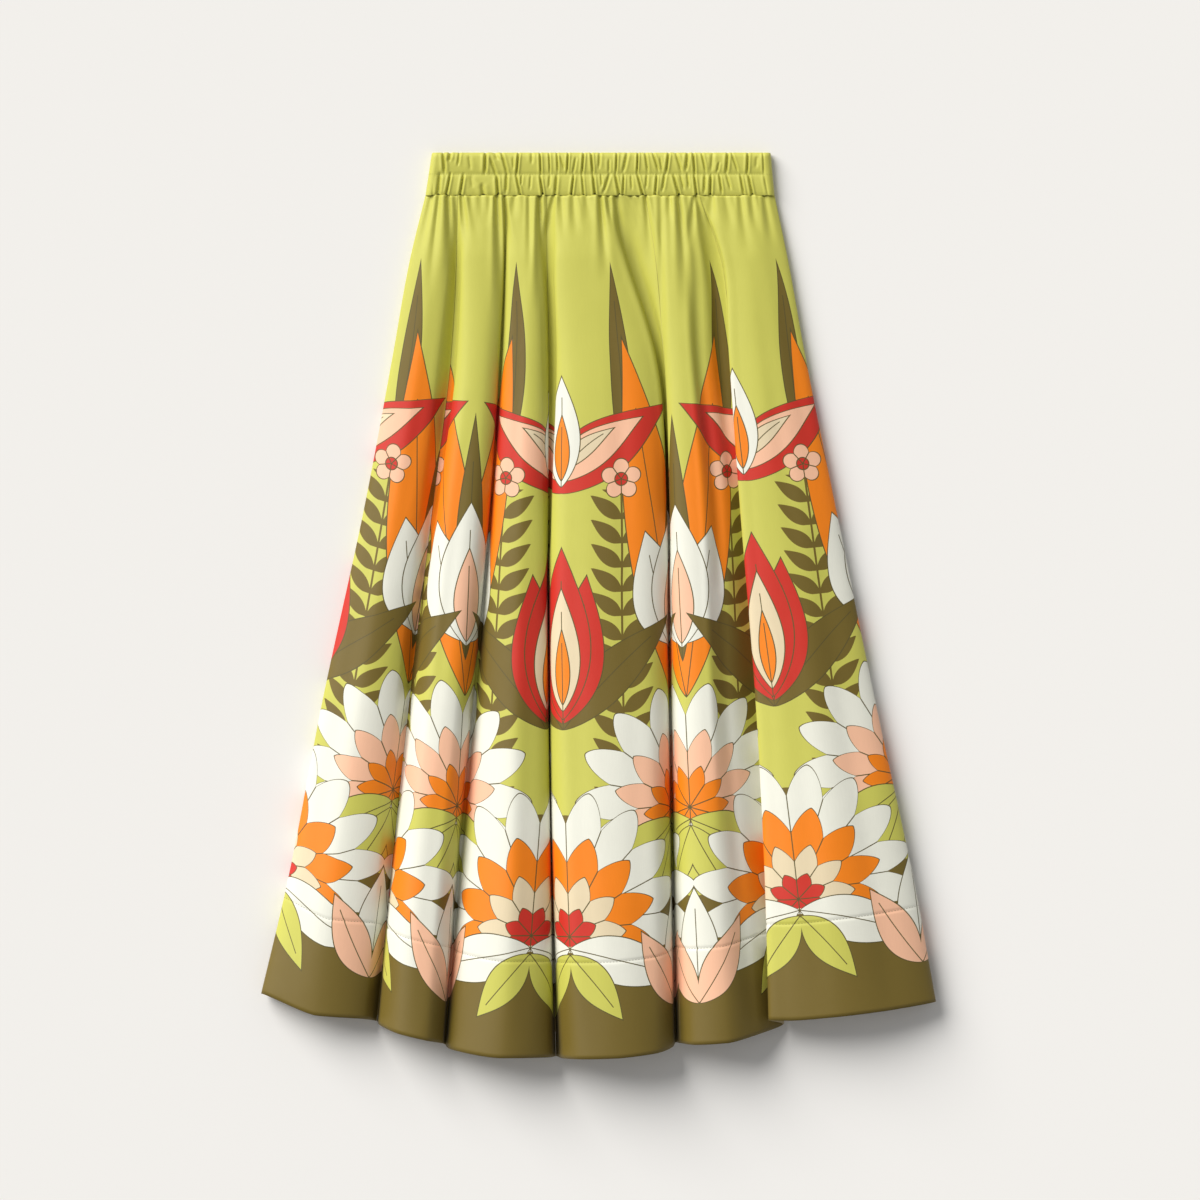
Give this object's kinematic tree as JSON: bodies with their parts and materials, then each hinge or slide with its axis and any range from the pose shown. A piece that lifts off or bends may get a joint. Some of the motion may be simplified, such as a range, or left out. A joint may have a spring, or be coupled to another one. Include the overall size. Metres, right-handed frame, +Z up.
{
  "type": "gathered midi skirt laid flat",
  "caption": "Gathered cotton midi skirt with an elastic waistband, laid flat with its front in long soft folds that widen to the hem.",
  "frame": {"origin": "on the surface the skirt lies on, under the middle of its outline", "axes": "+X to the wearer's left as the front is looked at from above, +Y towards the waist, +Z up off the surface through the front"},
  "size_m": [0.674, 0.904, 0.057],
  "materials": {
    "waistband": "smooth cotton, gathered over elastic",
    "printed_cotton": "smooth printed cotton, faint sheen"
  },
  "bodies": {
    "root": {"waistband": "waistband", "front_side_left": "printed_cotton", "front_left": "printed_cotton", "front_middle": "printed_cotton", "front_right": "printed_cotton", "front_side_right": "printed_cotton", "back_panel": "printed_cotton"}
  },
  "joints": []
}
